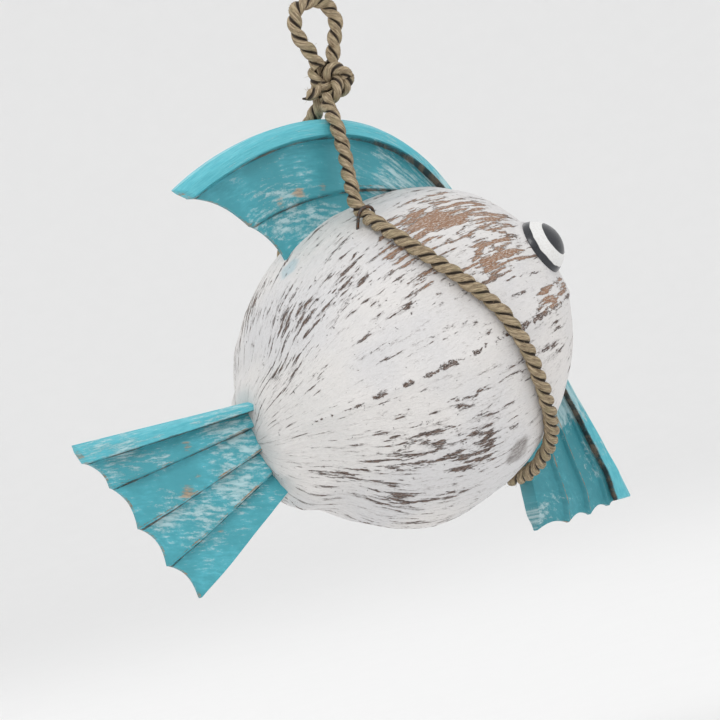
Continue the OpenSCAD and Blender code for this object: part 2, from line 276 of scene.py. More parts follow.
def husk_stuff():
    s = Stuff("whitewashed_husk")
    reach, ring_x, ring_y = s.mark("reach"), s.mark("ring_x"), s.mark("ring_y")
    brown_zone, dash_zone, ridge, slot_shade_and_grey_patch = s.mark("brown"), s.mark("dash"), s.mark("ridge"), s.mark("slot_shade_and_grey_patch")
    # Streaks lie along the husk's fibres: long in reach, narrow round the ring.
    wide = s.cloud(s.place(reach * 0.10, ring_x, ring_y), 25.0, 4.0, 0.64)
    narrow = s.cloud(s.place(reach * 0.16 + 7.3, ring_x, ring_y), 27.0, 4.0, 0.62)
    fine = s.cloud(s.place(reach * 0.20 + 3.1, ring_x, ring_y), 95.0, 5.0, 0.7)
    hair = s.cloud(s.place(reach * 0.12 + 1.7, ring_x, ring_y), 260.0, 3.0, 0.6)
    broad = s.cloud(s.own_place(), 14.0, 3.0, 0.5)
    grit = s.cloud(s.own_place(), 520.0, 4.0, 0.7)
    chip = s.cloud(s.own_place(), 150.0, 4.0, 0.65)
    feather = fine * 0.22 + grit * 0.13
    brown = (wide + (narrow - 0.5) * 0.55 + feather + brown_zone * 0.29).step(0.835, 0.885)
    dashes = (narrow + feather + dash_zone * 0.22).step(0.875, 0.92)
    worn_ridge = (chip + feather + ridge * 0.28).step(0.925, 0.975)
    dots = (grit * 0.8 + chip * 0.35 + dash_zone * 0.02 + ridge * 0.03).step(0.735, 0.76)
    thin = (narrow * 0.6 + wide * 0.4 + feather + dash_zone * 0.10 + brown_zone * 0.06).step(0.69, 0.85)
    bare = brown.most(dashes).most(worn_ridge)
    wash = s.blend(broad.step(0.38, 0.62), WASH_COOL, WASH_WARM)
    wash = s.blend(fine.step(0.35, 0.75) * 0.28, wash, (0.52, 0.50, 0.49))
    wash = s.blend(thin * hair.step(0.35, 0.6) * 0.75, wash, (0.25, 0.22, 0.21))
    wash = s.blend(s.mark("smear") * 0.6, wash, (0.30, 0.52, 0.60))
    tan = s.blend(hair.step(0.36, 0.64), FIBRE_BROWN, (0.42, 0.27, 0.18))
    dark = s.blend(fine.step(0.4, 0.62), DARK_BROWN, (0.20, 0.135, 0.105))
    fibre = s.blend((brown_zone * 1.4 + wide * 0.6 - 0.3).step(0.25, 0.75), dark, tan)
    fibre = s.blend(worn_ridge * (1 - brown), fibre, dark)
    # Scraps of wash stay on the high fibres.
    colour = s.blend(bare * (1 - hair.step(0.54, 0.62) * 0.85), wash, fibre)
    colour = s.blend(dots * 0.85, colour, DARK_BROWN)
    # Painted shade darkens the mouth slot; the same grey goes on a patch low on each flank.
    colour = s.blend(slot_shade_and_grey_patch, colour, s.blend(fine.step(0.4, 0.6), (0.16, 0.13, 0.12), (0.42, 0.40, 0.39)))
    height = (1 - bare) * 0.6 + fine * 0.45 + chip * 0.30 - dots * 0.4 - thin * 0.15
    return s.finish(colour, bare * 0.15 + 0.60, height, 0.0013)


def fin_stuff():
    s = Stuff("turquoise_wood")
    along, across = s.mark("along"), s.mark("across")
    edge, shade_line_and_crack, strip, root = s.mark("edge"), s.mark("shade_line_and_crack"), s.mark("strip"), s.mark("root")
    brush = s.cloud(s.place(along * 0.30, across, 0.0), 420.0, 5.0, 0.68)
    scrape = s.cloud(s.place(along * 0.40, across, 3.7), 120.0, 5.0, 0.66)
    blotch = s.cloud(s.own_place(), 45.0, 4.0, 0.55)
    grit = s.cloud(s.own_place(), 900.0, 3.0, 0.6)
    brushed = s.blend(brush.step(0.3, 0.7), PAINT_MID, PAINT_BRIGHT)
    paint = s.blend(blotch.step(0.35, 0.62), PAINT_MID, brushed)
    # Painted highlight: the leading strip is painted lighter, where its face catches the light from above.
    paint = s.blend(strip * 0.85, paint, s.blend(brush.step(0.35, 0.7), PAINT_BRIGHT, (0.16, 0.60, 0.68)))
    # Painted shade: the blade, not the strip, is darkened by the shade mark, most just below each rib.
    paint = s.blend(s.mark("shade") * 0.8, paint, PAINT_IN_SHADE)
    chalky = scrape * 0.32 + brush * 0.62 + blotch * 0.26 + grit * 0.17 + root * 0.06
    chalky = chalky + s.mark("chalk") * 0.17
    chalk = chalky.step(0.76, 0.90)
    colour = s.blend(chalk * 0.62, paint, s.blend(brush.step(0.35, 0.65), (0.36, 0.52, 0.54), PAINT_WHITE))
    rubbed = (scrape * 0.5 + brush * 0.45 + s.mark("rub") * 0.42).step(0.78, 0.92)
    worn = (edge * 0.43 + scrape * 0.55 + grit * 0.25).step(0.72, 0.84).most(rubbed * 0.85)
    colour = s.blend(worn, colour, s.blend(brush.step(0.4, 0.62), WOOD_BARE, (0.44, 0.31, 0.20)))
    # Painted shade as dark lines under each rib, joined with the strip's real dark crack.
    dark = (shade_line_and_crack * 0.52 + scrape * 0.5 + grit * 0.2).step(0.72, 0.86)
    colour = s.blend(dark * 0.90, colour, s.blend(brush.step(0.45, 0.6), DARK_FOR_NICKS_AND_SHADE, (0.17, 0.10, 0.055)))
    nicks = (grit * 0.6 + brush * 0.5).step(0.70, 0.74)
    colour = s.blend(nicks * 0.6, colour, s.blend(blotch.step(0.45, 0.5), DARK_FOR_NICKS_AND_SHADE, PAINT_WHITE))
    height = (1 - worn) * 0.45 + brush * 0.45 + chalk * 0.2 - dark * 0.5 - nicks * 0.3
    return s.finish(colour, chalk * 0.12 + 0.50, height, 0.0008)


def rope_stuff():
    s = Stuff("seagrass_rope")
    along, across, groove = s.mark("along"), s.mark("across"), s.mark("groove")
    streak = s.cloud(s.place(along * 0.22, across, 0.0), 1500.0, 4.0, 0.6)
    patch = s.cloud(s.own_place(), 160.0, 3.0, 0.5)
    fibre = s.blend(streak.step(0.34, 0.64), (0.16, 0.105, 0.055), (0.54, 0.43, 0.28))
    fibre = s.blend(patch.step(0.48, 0.68) * 0.4, fibre, (0.30, 0.26, 0.14))
    fibre = s.blend(patch.step(0.42, 0.3) * 0.4, fibre, (0.50, 0.40, 0.25))
    # Painted shade: each strand darkens to near black on its side turned in to the other strand.
    colour = s.blend(groove.step(0.05, 0.75) * 0.93, fibre, (0.03, 0.02, 0.014))
    return s.finish(colour, streak * 0.2 + 0.62, streak, 0.0006)


def eye_stuff():
    s = Stuff("eye_paint")
    rim = s.mark("rim")
    wobble = s.cloud(s.own_place(), 130.0, 2.0, 0.5)
    ring = rim + wobble * 1.0 - 0.5
    black = (1 - ring.step(10.3, 10.45)).most(ring.step(14.75, 14.9))
    chalk = s.cloud(s.own_place(), 900.0, 3.0, 0.6)
    white = s.blend(chalk.step(0.4, 0.7), (0.80, 0.80, 0.79), (0.72, 0.71, 0.69))
    colour = s.blend(black, white, (0.012, 0.014, 0.02))
    roughness = 0.48 - black * 0.24 + chalk * 0.1
    return s.finish(colour, roughness, black * 0.5 + chalk * 0.3, 0.0003, Coat_Weight=0.25)


def wood_stuff(name, dark, light, scale):
    s = Stuff(name)
    lines = s.cloud(s.own_place(), scale, 5.0, 0.65)
    return s.finish(s.blend(lines.step(0.35, 0.65), dark, light), lines * 0.3 + 0.45, lines, 0.0004)


def wire_stuff():
    s = Stuff("wire")
    rust = s.cloud(s.own_place(), 700.0, 4.0, 0.6)
    colour = s.blend(rust.step(0.45, 0.6), (0.10, 0.095, 0.09), (0.17, 0.075, 0.035))
    return s.finish(colour, rust * 0.3 + 0.35, rust, 0.0002, Metallic=0.8)


HUSK, FIN, ROPE, EYE = husk_stuff(), fin_stuff(), rope_stuff(), eye_stuff()
WIRE = wire_stuff()
BAMBOO = wood_stuff("bamboo", (0.50, 0.37, 0.19), (0.68, 0.55, 0.32), 300.0)
SHELL = wood_stuff("nut_shell", (0.10, 0.05, 0.03), (0.24, 0.14, 0.08), 90.0)


# ---- ropes ----

# Right half of the harness, from the knot over the back, round the cheek and under the chin.
HALF_ROUTE = [
    (-10.5, 4.3, 153.5), (-13.2, 4.8, 149.8), (-14.1, 7.5, 146.2), (-16.2, 12.4, 142), (-16.7, 14.4, 136.6),
    (-16.7, 15.4, 130.2), (-16.7, 16.4, 123.9), (-19.5, 20, 111.9), (-23, 25, 99.4), (-25.2, 29.5, 90.6),
    (-25.1, 35, 84.9), (-25.8, 44.7, 79.1), (-24.3, 53.8, 72.6), (-20.3, 64, 63.2), (-14.7, 71.9, 54),
    (-7.7, 77.8, 44.8), (0, 82.5, 35.1), (6.8, 85, 26.9), (12.4, 87.4, 18.4), (16.1, 89.6, 9.8),
    (20.2, 89.6, 1.3),
    (25.6, 86.9, -7.7), (29.7, 83.6, -16.3), (34.1, 79.9, -25), (38.5, 75.1, -33.5), (43.8, 68.2, -42),
    (49.8, 58.6, -50.4), (54, 48.5, -58), (56.8, 36, -64.6), (59, 20.6, -70.8), (60.6, 0, -74),
]
LOOP_HALF = [
    (4.4, -32.6), (5.8, -28.8), (8.6, -22.5), (12.5, -14), (13.5, -7), (10.5, 0), (5.5, 3.2), (0, 4),
]


ROPE_STEP = 0.0008
FIRST_SIDE = (1.0, 0.1, 0.0)


def eased(points):
    """Even points, in metres, along the smooth curve through points."""
    p = np.asarray(points, float)
    ends = np.vstack([2 * p[0] - p[1], p, 2 * p[-1] - p[-2]])
    fine = []
    for a, b, c, d in zip(ends, ends[1:], ends[2:], ends[3:], strict=False):
        t = np.linspace(0, 1, 24, endpoint=False)[:, None]
        bend, ease = 2 * a - 5 * b + 4 * c - d, 3 * b - a - 3 * c + d
        fine.append(0.5 * (2 * b + (c - a) * t + bend * t**2 + ease * t**3))
    fine = np.vstack([*fine, p[-1:]])
    run = np.concatenate([[0], np.cumsum(np.linalg.norm(np.diff(fine, axis=0), axis=1))])
    at = np.linspace(0, run[-1], max(4, int(run[-1] / ROPE_STEP)))
    return np.stack([np.interp(at, run, fine[:, k]) for k in range(3)], -1), run[-1]


def frames_along(path):
    """Heading and two side vectors at each point, carried along without twist."""
    heads = np.gradient(path, axis=0)
    heads /= np.linalg.norm(heads, axis=1)[:, None]
    side = np.array(FIRST_SIDE)
    sides = []
    for t in heads:
        side = side - t * (side @ t)
        side = side / np.linalg.norm(side)
        sides.append(side)
    sides = np.array(sides)
    return heads, sides, np.cross(heads, sides)


STRANDS = 2
STRAND_EDGES = 14
# How far a strand's middle is from the rope's, and the strand's own radius.
STRAND_OFF, STRAND_RADIUS = 1.95, 2.25


def rope_parts(path, thick=1.0, pitch=17.6, taper=0, seed=0):
    """Points, faces and marks of a laid rope of two strands along path, in metres."""
    heads, right, up = frames_along(path)
    run = np.concatenate([[0], np.cumsum(np.linalg.norm(np.diff(path, axis=0), axis=1))])
    turn = -2 * pi * run / (pitch * MM)
    points, faces, along, across, groove = [], [], [], [], []
    around = np.linspace(0, 2 * pi, STRAND_EDGES, endpoint=False)
    swell = 1 + 0.07 * grain(np.stack([run * 900, run * 0, run * 0], -1), 7, seed)
    if taper:
        swell = swell * (1 - 0.75 * smooth(run[-1] - taper * MM, run[-1], run))
    for k in range(STRANDS):
        start = sum(len(p) for p in points)
        phase = turn + 2 * pi * k / STRANDS
        off = STRAND_OFF * thick * MM
        centre = path + off * (np.cos(phase)[:, None] * right + np.sin(phase)[:, None] * up)
        out = np.cos(phase)[:, None] * right + np.sin(phase)[:, None] * up
        sideways = np.cross(heads, out)
        own = STRAND_RADIUS * thick * MM * swell * (1 + 0.06 * (2 * k - 1))
        bumps = 0.05 * np.cos(5 * around[None, :] + 9 * phase[:, None] + k) + 0.035 * np.cos(
            9 * around[None, :] - 7 * phase[:, None] + 2 * k + seed
        )
        size = own[:, None] * (1 + bumps)
        skew = sideways[:, None, :] * 1.12 + heads[:, None, :] * 0.35
        ring = (
            centre[:, None, :]
            + size[..., None] * np.cos(around)[None, :, None] * out[:, None, :] * 1.02
            + size[..., None] * np.sin(around)[None, :, None] * skew
        )
        points.append(ring.reshape(-1, 3))
        faces += grid_faces(len(path), STRAND_EDGES, start, wrap=True, flip=True)
        last = start + (len(path) - 1) * STRAND_EDGES
        faces.append(tuple(range(start, start + STRAND_EDGES)))
        faces.append(tuple(range(last + STRAND_EDGES - 1, last - 1, -1)))
        along.append(np.repeat(run, STRAND_EDGES))
        across.append((around[None, :] * 0.0022 + phase[:, None] * 0.0004 + 0.02 * k).ravel())
        outer = np.repeat(np.cos(around)[None, :], len(path), 0).ravel()
        # Painted shade on the inner side of each strand, where the strands press together.
        groove.append(1 - smooth(-0.55, 0.35, outer))
    marks = [np.concatenate(v) for v in (along, across, groove)]
    return np.vstack(points), faces, marks


HAIR_REACH = 2.6
HAIR_MARKS = (0.01, 0.02, 0.0)
ROPE_SKIN = 3.2


def hairs(path, count, seed):
    """Fine loose fibres that stand off a rope."""
    dice = np.random.default_rng(seed)
    heads, right, up = frames_along(path)
    points, faces = [], []
    for _ in range(count):
        i = int(dice.integers(4, len(path) - 4))
        a = dice.uniform(0, 2 * pi)
        out = cos(a) * right[i] + sin(a) * up[i]
        lean = heads[i] * dice.uniform(-1, 1) + np.cross(heads[i], out) * dice.uniform(-0.8, 0.8)
        length = dice.uniform(0.4, 1.0) * HAIR_REACH * MM
        root = path[i] + out * ROPE_SKIN * MM
        start = len(points)
        for step in range(5):
            t = step / 4
            middle = root + out * length * t + lean * length * 1.3 * t + heads[i] * length * 0.5 * t * t
            wide = 0.13 * MM * (1 - 0.8 * t)
            for k in range(3):
                b = 2 * pi * k / 3
                points.append(middle + wide * (cos(b) * heads[i] + sin(b) * np.cross(heads[i], out)))
        faces += grid_faces(5, 3, start, wrap=True)
        faces += [(start + 2, start + 1, start), (start + 12, start + 13, start + 14)]
    return np.array(points), faces


def rope_piece(name, path, hair=0, thick=1.0, seed=0, taper=0, pitch=17.6):
    points, faces, marks = rope_parts(path, thick, pitch, taper, seed)
    if hair:
        more, more_faces = hairs(path, hair, seed + 5)
        faces = faces + [tuple(v + len(points) for v in f) for f in more_faces]
        extra = len(more)
        points = np.vstack([points, more])
        marks = [
            np.concatenate([m, np.full(extra, f)]) for m, f in zip(marks, HAIR_MARKS, strict=True)
        ]
    names = ("along", "across", "groove")
    return new_piece(name, points, faces, ROPE, list(zip(names, marks, strict=True)))


half = np.array(HALF_ROUTE, float)
harness_route = hung(np.vstack([half * (1, -1, 1), half[-2::-1]]))
harness_path, harness_length = eased(harness_route)
harness = rope_piece("harness_rope_laid", harness_path, hair=150, seed=3)
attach(harness, "fish")
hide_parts("harness_rope")

loop_half = np.array([(x, 0, z) for x, z in LOOP_HALF], float) * MM
loop_route = np.vstack([loop_half * (-1, 1, 1), loop_half[-2::-1]])
loop_path, loop_length = eased(loop_route)
loop = rope_piece("hanging_loop_laid", loop_path, hair=16, seed=11)
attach(loop, "hook_loop")
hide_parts("hanging_loop")


# ---- husk ----

# Where the wash is rubbed away on the right side: degrees along the fibres and round the body, the two
# spans and a strength.
BROWN_PATCHES = [
    (104, 50, 22, 13, 1.0), (121, 46, 12, 12, 0.9), (112, 27, 16, 9, 0.85), (86, 45, 12, 9, 0.75),
    (84, 28, 10, 8, 0.5), (128, 4, 12, 5, 0.9), (140, 8, 8, 6, 0.8), (112, 66, 16, 5, 0.6),
]
DASH_PATCHES = [
    (60, -32, 26, 16, 0.9), (76, -36, 18, 14, 1.0), (36, -45, 16, 12, 0.8), (60, -60, 24, 12, 0.9),
    (88, -34, 12, 9, 0.6), (45, 62, 16, 22, 0.9), (66, 50, 14, 14, 0.8), (72, 28, 12, 8, 0.7),
    (30, 50, 10, 20, 0.7), (120, -12, 16, 9, 0.6), (84, -14, 20, 5, 0.8), (97, -48, 9, 7, 0.45),
    (100, 88, 50, 20, 0.3), (75, -88, 40, 18, 0.6), (150, -30, 20, 20, 0.5),
]


def patch_sum(patches, along, round_):
    """Soft patches on the right side and, shifted a little, on the left."""
    total = np.zeros_like(along)
    left = 180 - round_
    for a, r, span_a, span_r, strength in patches:
        for ring, nudge in ((round_, 0), (left, 7)):
            gap = (ring - r - nudge + 180) % 360 - 180
            here = np.exp(-(((along - a - nudge) / span_a) ** 2) - (gap / span_r) ** 2)
            total = np.maximum(total, strength * here)
    return total


def bare_skin(along, round_):
    """Points and outward directions on the husk before its ridges and dents."""
    a, r = np.radians(along), np.radians(round_)
    half = np.where(along < 90, HUSK_REAR, HUSK_FRONT)
    high = np.where(np.sin(r) > 0, HUSK_TOP, HUSK_BELLY)
    full = np.where(along < 90, 1.9, 1.8 + 0.8 * (1 + np.sin(r)) / 2)
    girth = np.maximum(1 - np.abs(np.cos(a)) ** full, 1e-9) ** (1 / full)
    x, y, z = -half * np.cos(a), -HUSK_SIDE * girth * np.cos(r), high * girth * np.sin(r)
    out_x = np.sign(x) * np.abs(x / half) ** (full - 1) / half
    out_y = girth ** (full - 2) * y / HUSK_SIDE**2
    out_z = girth ** (full - 2) * z / high**2
    out = np.stack([out_x, out_y, out_z], -1)
    out /= np.linalg.norm(out, axis=-1)[..., None] + 1e-12
    c, s = cos(HUSK_PITCH), sin(HUSK_PITCH)

    def pitched(v):
        return np.stack([v[..., 0] * c - v[..., 2] * s, v[..., 1], v[..., 0] * s + v[..., 2] * c], -1)

    return pitched(np.stack([x, y, z], -1)), pitched(out)


def husk_points(along, round_):
    """The husk's skin about its middle, in mm, its outward directions and its nearness to a ridge line."""
    a, r = np.radians(along), np.radians(round_)
    ridge = np.zeros_like(a)
    ledge = np.zeros_like(a)
    for mid in RIDGES:
        gap = (round_ - mid + 180) % 360 - 180
        ridge = np.maximum(ridge, falloff(gap, 7))
        ledge = np.maximum(ledge, falloff(gap, 1.6))
    flat, outward = bare_skin(along, round_)
    radial = np.sin(a)
    lift = (1.9 * ridge + 0.7 * ledge) * radial
    p = flat + outward * lift[..., None]
    fibres = np.stack([along * 0.25, np.cos(r) * 86, np.sin(r) * 86], -1)
    dents = 0.9 * grain(p, 34, 1) + 0.45 * grain(p, 13, 2) + 0.28 * grain(fibres, 2.6, 3) * radial
    dents = dents - 0.35 + 0.12 * grain(p, 3.2, 4)
    return p + outward * dents[..., None], outward, ledge


EYE_ALONG, EYE_ROUND = 140.0, 27.0
EYE_OUT, EYE_UP = radians(52), radians(21)
MOUTH = np.array([99.0, 0.0, 2.5])
SEAT_SINK, SEAT_RIM, SEAT_REACH = 0.4, (20.5, 15.5), 30
# How far the putty stands proud at each fin's root, and the mouth's depth and lips, in mm.
TAIL_PUTTY, BACK_PUTTY, CHIN_PUTTY = 11.0, 1.6, 1.8
SLOT_DEPTH, LIP_RISE = 7.5, 2.0
HUSK_ROWS, HUSK_COLUMNS = 230, 384


def eye_seat(side):
    """Middle and outward direction of an eye's seat. side is -1 on the fish's right."""
    seat, _ = bare_skin(np.array([EYE_ALONG]), np.array([EYE_ROUND]))
    seat = seat[0] * (1, -side, 1)
    out = np.array([cos(EYE_UP) * cos(EYE_OUT), side * cos(EYE_UP) * sin(EYE_OUT), sin(EYE_UP)])
    return seat, out


def make_husk():
    rows, columns = HUSK_ROWS, HUSK_COLUMNS
    along = np.linspace(0.4, 179.6, rows)[:, None] * np.ones(columns)
    round_ = np.linspace(0, 360, columns, endpoint=False)[None, :] * np.ones((rows, 1))
    p, outward, ledge = husk_points(along, round_)
    # A putty collar round the tail's root, and low fillets where the other fins enter.
    tail_line = np.stack([np.linspace(-97, -86, 9), np.zeros(9), np.linspace(-6, -52, 9)], -1)
    near_tail = np.min(np.linalg.norm(p[..., None, :] - tail_line, axis=-1), axis=-1)
    collar = falloff(near_tail - 9, 15) * (0.85 + 0.35 * smooth(-15, -40, p[..., 2]))
    collar = collar * smooth(-92, -44, p[..., 2]) * smooth(30, -8, p[..., 2])
    back_line = np.stack([np.linspace(-56, 56, 23), np.zeros(23), np.linspace(78, 90, 23)], -1)
    near_back = np.min(np.linalg.norm(p[..., None, :] - back_line, axis=-1), axis=-1)
    fillet = falloff(near_back, 8)
    chin_line = np.stack([np.linspace(67, 99, 12), np.zeros(12), np.linspace(-73, -24, 12)], -1)
    near_chin = np.min(np.linalg.norm(p[..., None, :] - chin_line, axis=-1), axis=-1)
    chin_fillet = falloff(near_chin, 9)
    lumps = 1 + 0.16 * grain(p, 9, 8)
    lift = (TAIL_PUTTY * collar + BACK_PUTTY * fillet + CHIN_PUTTY * chin_fillet) * lumps
    # The mouth: a carved slot between two low lips.
    spread = p - MOUTH
    across, high = spread[..., 1] / 15.0, spread[..., 2] - 1.2 * (spread[..., 1] / 12) ** 2
    front = smooth(70, 82, p[..., 0])
    slot = np.exp(-((high / 2.6) ** 4)) * smooth(1.05, 0.75, np.abs(across)) * front
    lips = np.exp(-(((np.hypot(across * 9, high) - 9) / 4.0) ** 2)) * front
    lift = lift - SLOT_DEPTH * slot + LIP_RISE * lips
    # Seats that the eyes sink into.
    for side in (-1, 1):
        seat, out = eye_seat(side)
        away_from = p - seat
        deep = away_from @ out
        wide = np.linalg.norm(away_from - deep[..., None] * out, axis=-1)
        lift = lift - (deep + SEAT_SINK) * smooth(*SEAT_RIM, wide) * (deep > -SEAT_REACH)
    p = p + outward * lift[..., None]
    first, last = p[0].mean(0), p[-1].mean(0)
    points = np.vstack([p.reshape(-1, 3), first[None], last[None]])
    faces = grid_faces(rows, columns, 0, wrap=True, flip=True)
    tail_pole, head_pole = rows * columns, rows * columns + 1
    top = (rows - 1) * columns
    for j in range(columns):
        k = (j + 1) % columns
        faces.append((tail_pole, j, k))
        faces.append((head_pole, top + k, top + j))
    right_gap, left_gap = (round_ + 48 + 180) % 360 - 180, (180 - round_ + 44 + 180) % 360 - 180
    facet = np.exp(-(((along - 97) / 7) ** 2) - (right_gap / 8) ** 2)
    facet = np.maximum(facet, np.exp(-(((along - 97) / 7) ** 2) - (left_gap / 8) ** 2))
    smear = np.exp(-(((along - 61) / 4) ** 2) - (((round_ - 84 + 180) % 360 - 180) / 6) ** 2)
    patches = {
        "brown": patch_sum(BROWN_PATCHES, along, round_),
        "dash": patch_sum(DASH_PATCHES, along, round_),
        "ridge": ledge * smooth(0.1, 0.5, np.sin(np.radians(along))),
        # Painted shade in the mouth slot, joined with a grey patch low on each flank.
        "slot_shade_and_grey_patch": np.maximum(0.85 * smooth(0.45, 0.8, facet + 0.2 * grain(p, 5, 21)), slot),
        "smear": 0.8 * smooth(0.3, 0.8, smear + 0.35 * grain(p, 4, 22)),
        "reach": along / 180 * 5.2,
        "ring_x": np.cos(np.radians(round_)),
        "ring_y": np.sin(np.radians(round_)),
    }
    ends = {"reach": (0.0, 5.2), "ring_x": (0, 0), "ring_y": (0, 0)}
    marks = [
        (name, np.concatenate([values.ravel(), ends.get(name, (0.0, 0.0))]))
        for name, values in patches.items()
    ]
    husk = new_piece("husk_skin", hung(points), faces, HUSK, marks)
    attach(husk, "fish")
    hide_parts("coconut_husk")


make_husk()


# ---- fins ----


def bezier(p, t):
    p = np.asarray(p, float)
    t = np.asarray(t)[..., None]
    return (1 - t) ** 3 * p[0] + 3 * t * (1 - t) ** 2 * p[1] + 3 * t * t * (1 - t) * p[2] + t**3 * p[3]


def carved_fin(
    name, ribs, strip_t, blade_t, depth, scallops, node, seed, shade=0.0, lines=1.0, rub=(), chalk=()
):
    """A carved board in the mirror plane. ribs are curves from the free edge to the root, the leading edge
    first; between the second and the last the wood is hollowed below each rib and rises to the next."""
    lanes = np.array([
        0, 0.012, 0.03, 0.06, 0.09, 0.13, 0.18, 0.24, 0.31, 0.39, 0.47, 0.56, 0.65, 0.74, 0.82, 0.89,
        0.94, 0.975,
    ])
    w = np.concatenate([lanes + k for k in range(len(ribs) - 1)] + [[len(ribs) - 1.0]])
    t = np.concatenate([[0, 0.004, 0.012, 0.025], np.linspace(0.045, 1, 66)])
    curves = np.array([rib(t) for rib in ribs])
    lane = np.minimum(w.astype(int), len(ribs) - 2)
    s = w - lane
    flat = curves[lane] * (1 - s)[:, None, None] + curves[lane + 1] * s[:, None, None]
    inward = np.gradient(flat, axis=1)
    inward /= np.linalg.norm(inward, axis=-1)[..., None] + 1e-9
    cut = np.array([scallops[i] for i in lane]) * np.sin(pi * s**0.85)
    flat = flat + inward * (cut[:, None] * (1 - t)[None, :] ** 3)[..., None]
    S, T = s[:, None] * np.ones_like(t), np.ones_like(w)[:, None] * t
    in_strip = (lane == 0)[:, None] * np.ones_like(t)
    tip = 0.40 + 0.60 * smooth(0, 0.22, T)
    bevel = 0.42 + 0.58 * smooth(0.0, 0.42, S) ** 0.7
    strip_half = strip_t / 2 * bevel * (0.55 + 0.45 * smooth(0, 0.22, T))
    hollow = smooth(0.0, 0.10, S) * (1 - S) ** 1.25 * 1.05
    next_lane = (lane == 1)[:, None] * np.ones_like(t)
    under_strip = next_lane * (strip_t - blade_t) / 2 * (1 - smooth(0, 0.09, S))
    fade = smooth(1.0, 0.75, T) * 0.35 + 0.65
    blade_half = blade_t / 2 * tip - depth * hollow * fade + under_strip
    half = np.where(in_strip > 0.5, strip_half, blade_half)
    half[-1] *= 0.8
    half[:, 0] *= 0.55
    half[:, 1] *= 0.8
    half = np.maximum(half, 1.1)
    pos = np.stack([flat[..., 0], 0 * half, flat[..., 1]], -1)
    half = half + 0.22 * grain(pos, 9, seed) + 0.12 * grain(pos * (1, 1, 1), 3.5, seed + 1)
    rows, columns = half.shape
    # Wear and painted shade: bare crests, chalky and rubbed patches, dark lines of painted shade just under
    # the crests, and a broken dark crack along the middle of the strip.
    size = np.linalg.norm(curves[0] - curves[-1], axis=-1)[None, :] / (len(ribs) - 1)
    inner = (lane < len(ribs) - 2)[:, None]
    to_crest = (1 - S) * size
    crest = inner * np.where(in_strip > 0.5, falloff(to_crest, 0.9), falloff(to_crest, 1.5))
    # Painted shade: a dark line just below each rib; lines scales it on the lower lanes.
    shade_line_and_crack = np.where(in_strip > 0.5, 0.0, falloff((S - 0.05) * size, 1.1))
    crack = 0.9 * falloff((S - 0.45) * size, 0.35) * smooth(0.05, 0.3, grain(pos, 30, seed + 5) + 0.3)
    shade_line_and_crack = np.maximum(shade_line_and_crack, np.where(in_strip > 0.5, crack, 0))
    shade_line_and_crack = shade_line_and_crack * np.where(lane[:, None] > 1, lines, 1.0)
    rim = falloff(T * 150, 1.3)
    outer = np.where(in_strip > 0.5, falloff(S * size, 0.7), 0)
    last_edge = np.where((lane == len(ribs) - 2)[:, None], falloff(to_crest, 0.9), 0)
    edge = np.maximum.reduce([crest, 0.8 * rim, 0.6 * outer, 0.4 * last_edge])

    def spots(places):
        total = np.zeros_like(S)
        for x, z, wide, strength in places:
            gap = (flat[..., 0] - x) ** 2 + (flat[..., 1] - z) ** 2
            total = np.maximum(total, strength * np.exp(-(gap / wide**2)))
        return total

    one_side = {
        "along": T * 0.12 + 0 * S, "across": (w[:, None] * size * MM) + 0 * T, "edge": edge, "shade_line_and_crack": shade_line_and_crack,
        "strip": in_strip, "root": smooth(0.45, 0.8, T), "rub": spots(rub), "chalk": spots(chalk),
        # shade: painted shade over the blade, deepest just below each rib.
        "shade": shade * (1 - in_strip) * (0.75 + 0.25 * (1 - S)),
    }
    right = np.stack([flat[..., 0], -half, flat[..., 1]], -1).reshape(-1, 3)
    left = np.stack([flat[..., 0], half, flat[..., 1]], -1).reshape(-1, 3)
    count = rows * columns
    faces = grid_faces(rows, columns, 0) + grid_faces(rows, columns, count, flip=True)
    border = list(range(columns)) + [i * columns + columns - 1 for i in range(1, rows)]
    border += [(rows - 1) * columns + j for j in range(columns - 2, -1, -1)]
    border += [i * columns for i in range(rows - 2, 0, -1)]
    for a, b in zip(border, border[1:] + border[:1], strict=True):
        faces.append((a, b, b + count, a + count))
    marks = [(key, np.concatenate([v.ravel(), v.ravel()])) for key, v in one_side.items()]
    fin = new_piece(name, hung(np.vstack([right, left])), faces, FIN, marks)
    mesh = fin.data
    mesh.set_sharp_from_angle(angle=radians(38))
    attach(fin, "fish")
    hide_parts(node)
    return fin


def straight(tip, root):
    tip, root = np.array(tip, float), np.array(root, float)
    return lambda t: tip + (root - tip) * np.asarray(t)[:, None]


def curved(*points):
    return lambda t: bezier(points, t)


def ray(apex, degrees, r):
    return np.array(apex) + r * np.array([cos(radians(degrees)), sin(radians(degrees))])


TOP = HUSK_TOP - 6
dorsal_ribs = [
    curved((-121, TOP + 33), (-80, TOP + 55), (18, TOP + 86), (58, TOP)),
    curved((-111, TOP + 27), (-74, TOP + 47), (16, TOP + 71), (53, TOP - 1)),
    curved((-77, TOP + 6), (-45, TOP + 20), (12, TOP + 22), (56, TOP - 4)),
    curved((-57, TOP - 22), (-20, TOP - 18), (20, TOP - 14), (58, TOP - 14)),
]
# The back fin's blade gets painted shade under its overhanging strip.
carved_fin(
    "dorsal_fin_carved", dorsal_ribs, 19, 12, 3.4, (0, 4.5, 4), "dorsal_fin", 31, shade=0.35,
    rub=((-58, TOP + 14, 7, 0.9), (-44, TOP + 18, 8, 1.0), (-28, TOP + 20, 7, 0.9), (-6, TOP + 20, 5, 0.7)),
    chalk=(
        (-55, 100, 22, 1.0), (-66, 92, 14, 0.8), (-40, 84, 22, 0.9), (20, 94, 24, 0.6), (48, 92, 12, 0.9),
    ),
)

